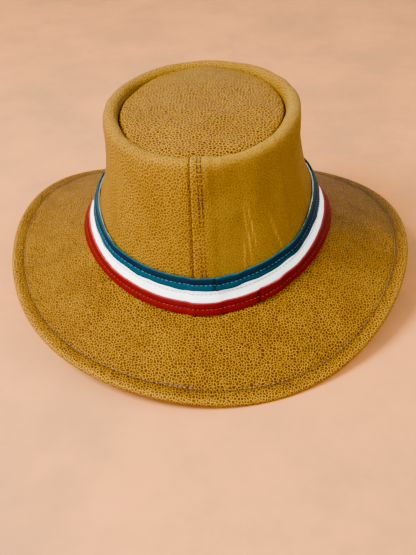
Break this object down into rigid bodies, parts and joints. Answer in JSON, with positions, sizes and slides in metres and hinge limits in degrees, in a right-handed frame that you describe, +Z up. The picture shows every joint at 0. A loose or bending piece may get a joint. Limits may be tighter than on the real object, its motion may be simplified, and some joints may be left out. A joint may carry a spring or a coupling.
{
  "type": "bush hat",
  "caption": "Leather bush hat with a tapered crown, rolled rim and sunken tip, a drooping brim with a wired hem, and a loose tricolour leather hatband.",
  "frame": {"origin": "centre of the head opening, where the brim leaves the crown", "axes": "+Z up through the crown, +Y to the front of the hat, +X to the wearer's right"},
  "size_m": [0.319, 0.3448, 0.1489],
  "materials": {
    "tan_leather": "pebbled grain, satin, worn lighter on the edges",
    "sweat_leather": "smooth, matt",
    "teal_leather": "smooth, satin",
    "white_leather": "fine grain, satin",
    "red_leather": "smooth, satin",
    "brown_thread": "waxed twisted thread",
    "pale_thread": "twisted thread",
    "teal_thread": "twisted thread",
    "red_thread": "twisted thread",
    "white_thread": "twisted thread",
    "wire": "drawn spring wire"
  },
  "bodies": {
    "hat": {"crown_side": "tan_leather", "crown_tip": "tan_leather", "brim": "tan_leather", "brim_wire": "wire", "sweatband": "sweat_leather", "back_seam_thread_left": "brown_thread", "back_seam_thread_right": "brown_thread", "brim_hem_thread": "pale_thread", "tip_seam_thread": "brown_thread", "base_seam_thread": "brown_thread", "sweatband_thread": "pale_thread"},
    "hatband": {"hatband_white_strip": "white_leather", "hatband_teal_strip": "teal_leather", "hatband_red_strip": "red_leather", "teal_strip_thread": "teal_thread", "red_strip_thread": "red_thread", "white_strip_thread": "white_thread"}
  },
  "joints": [
    {"name": "hatband_lift", "type": "slide", "parent": "hat", "child": "hatband", "axis": [0, 0, 1], "range_m": [0, 0.125]}
  ]
}
